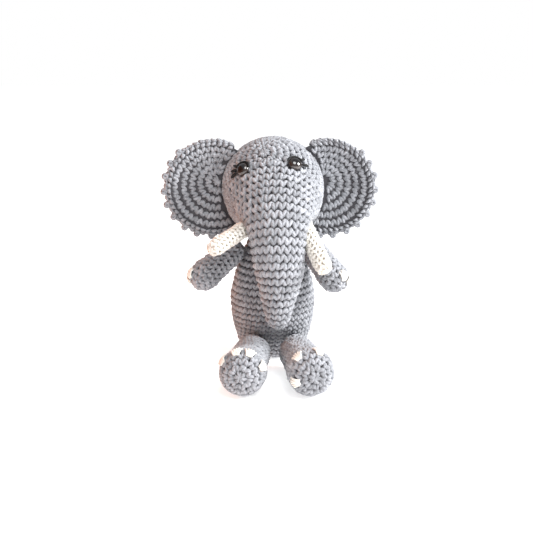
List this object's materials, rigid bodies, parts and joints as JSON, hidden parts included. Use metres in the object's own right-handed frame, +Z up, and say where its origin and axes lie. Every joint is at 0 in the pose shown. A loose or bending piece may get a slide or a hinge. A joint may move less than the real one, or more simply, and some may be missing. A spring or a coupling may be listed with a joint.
{
  "type": "stuffed elephant toy",
  "caption": "Seated crocheted elephant with a stuffed body, hanging trunk, cupped scalloped ears, short tusks, jointed head, arms, legs, ears and tail.",
  "frame": {"origin": "middle of the toy's outline seen from above, on the floor that the seat rests on", "axes": "+Z up, the toy looks along -Y and its left side is +X"},
  "size_m": [0.1684, 0.1476, 0.1823],
  "materials": {
    "grey_yarn": "matte crocheted yarn",
    "cream_yarn": "matte fine yarn",
    "fibrefill": "loose fibre",
    "eye_plastic": "glossy",
    "washer_plastic": "satin",
    "black_thread": "matte thread"
  },
  "bodies": {
    "torso": {"body_cover": "grey_yarn", "body_filling": "fibrefill"},
    "neck": {"neck_seam": "grey_yarn"},
    "head": {"head_cover": "grey_yarn", "tusk_cover_left": "cream_yarn", "tusk_cover_right": "cream_yarn", "head_filling": "fibrefill", "tusk_filling_left": "fibrefill", "tusk_filling_right": "fibrefill", "eye_left": "eye_plastic", "eye_right": "eye_plastic", "eye_washer_left": "washer_plastic", "eye_washer_right": "washer_plastic", "eye_lid_left": "black_thread", "eye_lid_right": "black_thread", "eye_lash_left_1": "black_thread", "eye_lash_left_2": "black_thread", "eye_lash_right_1": "black_thread", "eye_lash_right_2": "black_thread", "eye_lash_right_3": "black_thread"},
    "ear_left": {"ear_panel_left": "grey_yarn", "ear_edging_left": "grey_yarn"},
    "ear_right": {"ear_panel_right": "grey_yarn", "ear_edging_right": "grey_yarn"},
    "arm_left": {"arm_cover_left": "grey_yarn", "arm_nail_left_1": "cream_yarn", "arm_nail_left_2": "cream_yarn", "arm_filling_left": "fibrefill"},
    "arm_right": {"arm_cover_right": "grey_yarn", "arm_nail_right_1": "cream_yarn", "arm_nail_right_2": "cream_yarn", "arm_filling_right": "fibrefill"},
    "leg_left": {"leg_cover_left": "grey_yarn", "leg_nail_left_1": "cream_yarn", "leg_nail_left_2": "cream_yarn", "leg_nail_left_3": "cream_yarn", "leg_filling_left": "fibrefill"},
    "leg_right": {"leg_cover_right": "grey_yarn", "leg_nail_right_1": "cream_yarn", "leg_nail_right_2": "cream_yarn", "leg_nail_right_3": "cream_yarn", "leg_nail_right_4": "cream_yarn", "leg_filling_right": "fibrefill"},
    "tail": {"tail_cord": "grey_yarn", "tail_tuft": "grey_yarn"}
  },
  "joints": [
    {"name": "neck_turn", "type": "hinge", "parent": "torso", "child": "neck", "pos_m": [0.00248, 0.01907, 0.1047], "axis": [0, 0, 1], "range_deg": [-12, 12]},
    {"name": "neck_nod", "type": "hinge", "parent": "neck", "child": "head", "pos_m": [0.00248, 0.01907, 0.1427], "axis": [-1, 0, 0], "range_deg": [0, 18]},
    {"name": "ear_fold_left", "type": "hinge", "parent": "head", "child": "ear_left", "pos_m": [0.04318, 0.02157, 0.1427], "axis": [0, 0, 1], "range_deg": [-15, 15]},
    {"name": "ear_fold_right", "type": "hinge", "parent": "head", "child": "ear_right", "pos_m": [-0.03822, 0.02157, 0.1427], "axis": [0, 0, -1], "range_deg": [-15, 15]},
    {"name": "shoulder_left", "type": "hinge", "parent": "torso", "child": "arm_left", "pos_m": [0.03438, 0.00867, 0.0935], "axis": [-1, 0, 0], "range_deg": [-25, 20]},
    {"name": "shoulder_right", "type": "hinge", "parent": "torso", "child": "arm_right", "pos_m": [-0.02942, 0.00867, 0.0935], "axis": [-1, 0, 0], "range_deg": [-25, 20]},
    {"name": "hip_left", "type": "hinge", "parent": "torso", "child": "leg_left", "pos_m": [0.02148, -0.00593, 0.0152], "axis": [-1, 0, 0], "range_deg": [-60, 12]},
    {"name": "hip_right", "type": "hinge", "parent": "torso", "child": "leg_right", "pos_m": [-0.01352, -0.00593, 0.0152], "axis": [-1, 0, 0], "range_deg": [-60, 12]},
    {"name": "tail_wag", "type": "hinge", "parent": "torso", "child": "tail", "pos_m": [0.00248, 0.05667, 0.036], "axis": [0, 1, 0], "range_deg": [-30, 30]}
  ]
}
